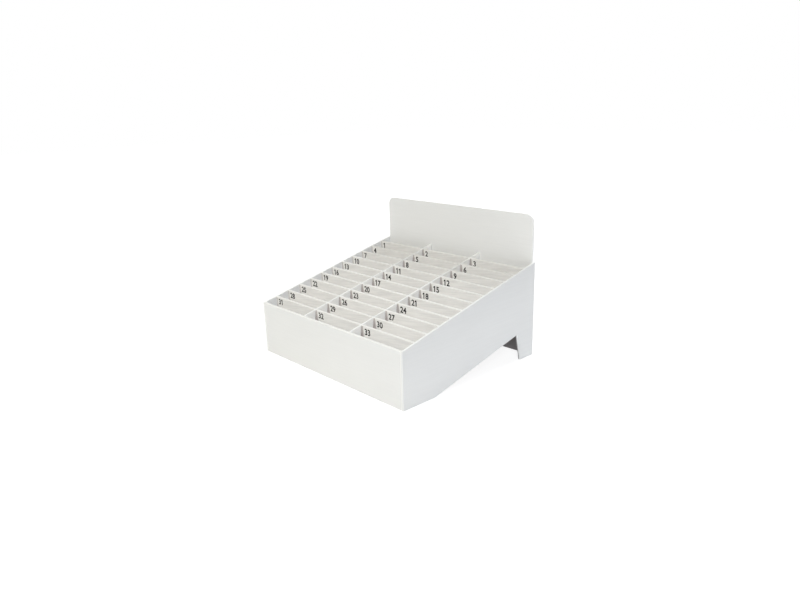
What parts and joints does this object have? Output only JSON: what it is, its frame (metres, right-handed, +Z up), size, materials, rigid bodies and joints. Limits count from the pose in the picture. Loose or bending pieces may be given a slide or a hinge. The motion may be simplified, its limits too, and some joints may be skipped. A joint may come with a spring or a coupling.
{
  "type": "phone storage box",
  "caption": "Sloping open box of white boards with a lapped grid of dividers that holds phones upright in rows in front of a tall back panel.",
  "frame": {"origin": "centre of the footprint, on the surface that the box stands on", "axes": "+X to the right as seen from the front, +Y from the low front to the high rear, +Z up"},
  "size_m": [0.318, 0.273, 0.216],
  "materials": {
    "panel_board": "satin white board",
    "divider_board": "satin white board with fine brushed lines",
    "floor_board": "satin white board with fine brushed lines"
  },
  "bodies": {
    "root": {"front_panel": "panel_board", "left_side_panel": "panel_board", "right_side_panel": "panel_board", "back_panel": "panel_board", "floor_panel": "floor_board", "column_divider_01": "divider_board", "column_divider_02": "divider_board", "row_divider_01": "divider_board", "row_divider_02": "divider_board", "row_divider_03": "divider_board", "row_divider_04": "divider_board", "row_divider_05": "divider_board", "row_divider_06": "divider_board", "row_divider_07": "divider_board", "row_divider_08": "divider_board", "row_divider_09": "divider_board", "row_divider_10": "divider_board", "row_divider_11": "divider_board"}
  },
  "joints": []
}
